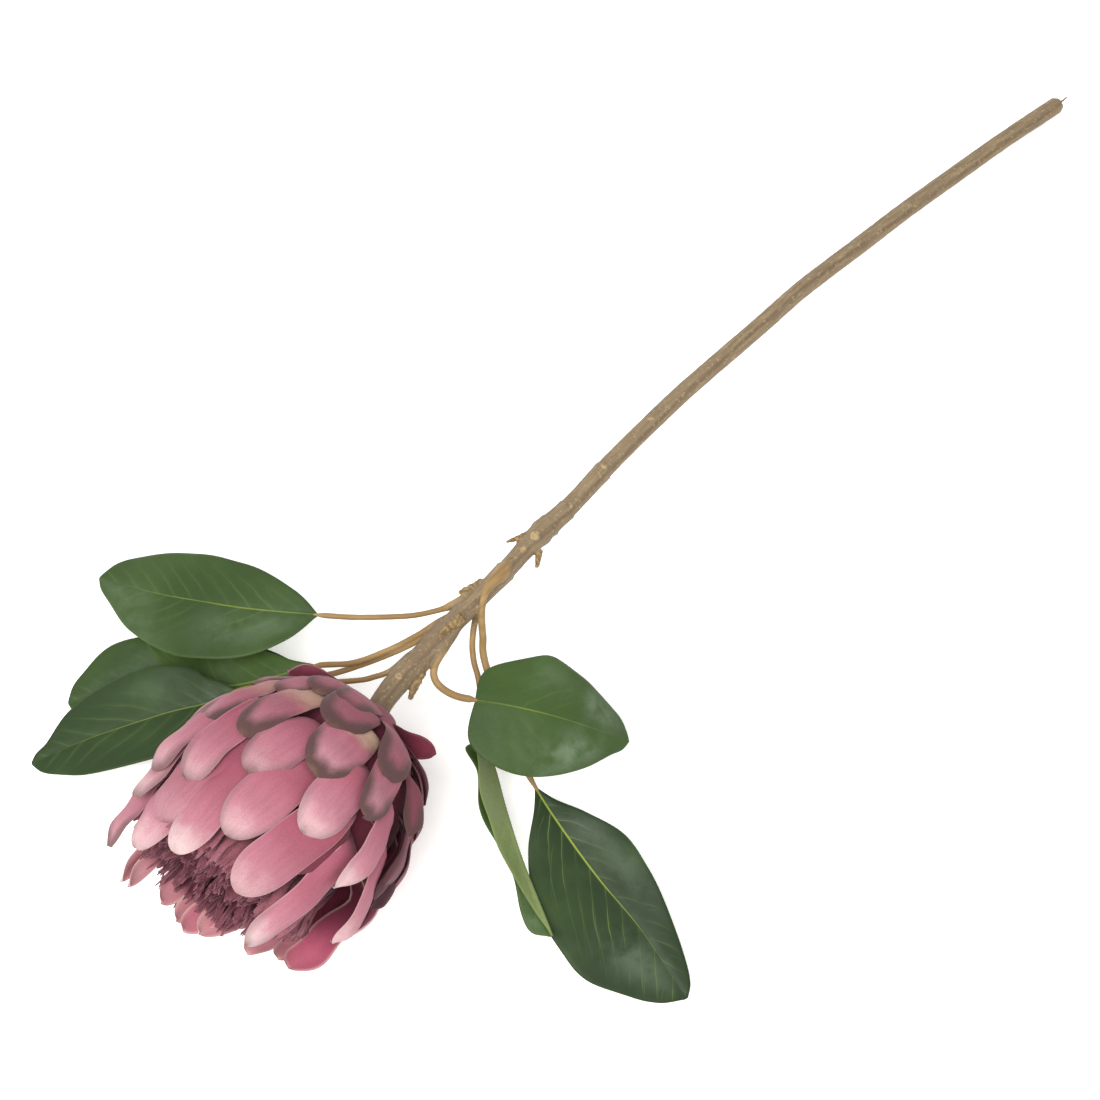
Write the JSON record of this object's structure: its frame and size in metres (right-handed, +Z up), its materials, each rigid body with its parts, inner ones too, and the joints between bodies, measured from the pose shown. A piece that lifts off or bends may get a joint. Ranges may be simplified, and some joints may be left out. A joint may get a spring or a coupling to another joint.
{
  "type": "protea flower stem",
  "caption": "Cut protea stem lying down: a large cup-shaped flower head with layered bracts round a brush of florets, a long woody stem and waved leaves on thin petioles.",
  "frame": {"origin": "middle of the whole part's box, on the surface that it lies on", "axes": "+X along the stem from the flower head to the cut end, +Z up from the surface"},
  "size_m": [0.6704, 0.3717, 0.1377],
  "materials": {
    "bract_fabric": "dusty pink brushed cloth with pale and brown tips",
    "floret_fabric": "dark plum torn cloth",
    "stem_plastic": "matte grey-brown moulded bark",
    "leaf_plastic": "dark green with a soft sheen and pale veins"
  },
  "bodies": {
    "root": {"bracts": "bract_fabric", "florets": "floret_fabric", "stem": "stem_plastic", "leaf_upper_left": "leaf_plastic", "leaf_middle_left": "leaf_plastic", "leaf_back_left": "leaf_plastic", "leaf_lower_left": "leaf_plastic", "leaf_near_right": "leaf_plastic", "leaf_folded_right": "leaf_plastic", "leaf_low_right": "leaf_plastic"}
  },
  "joints": []
}
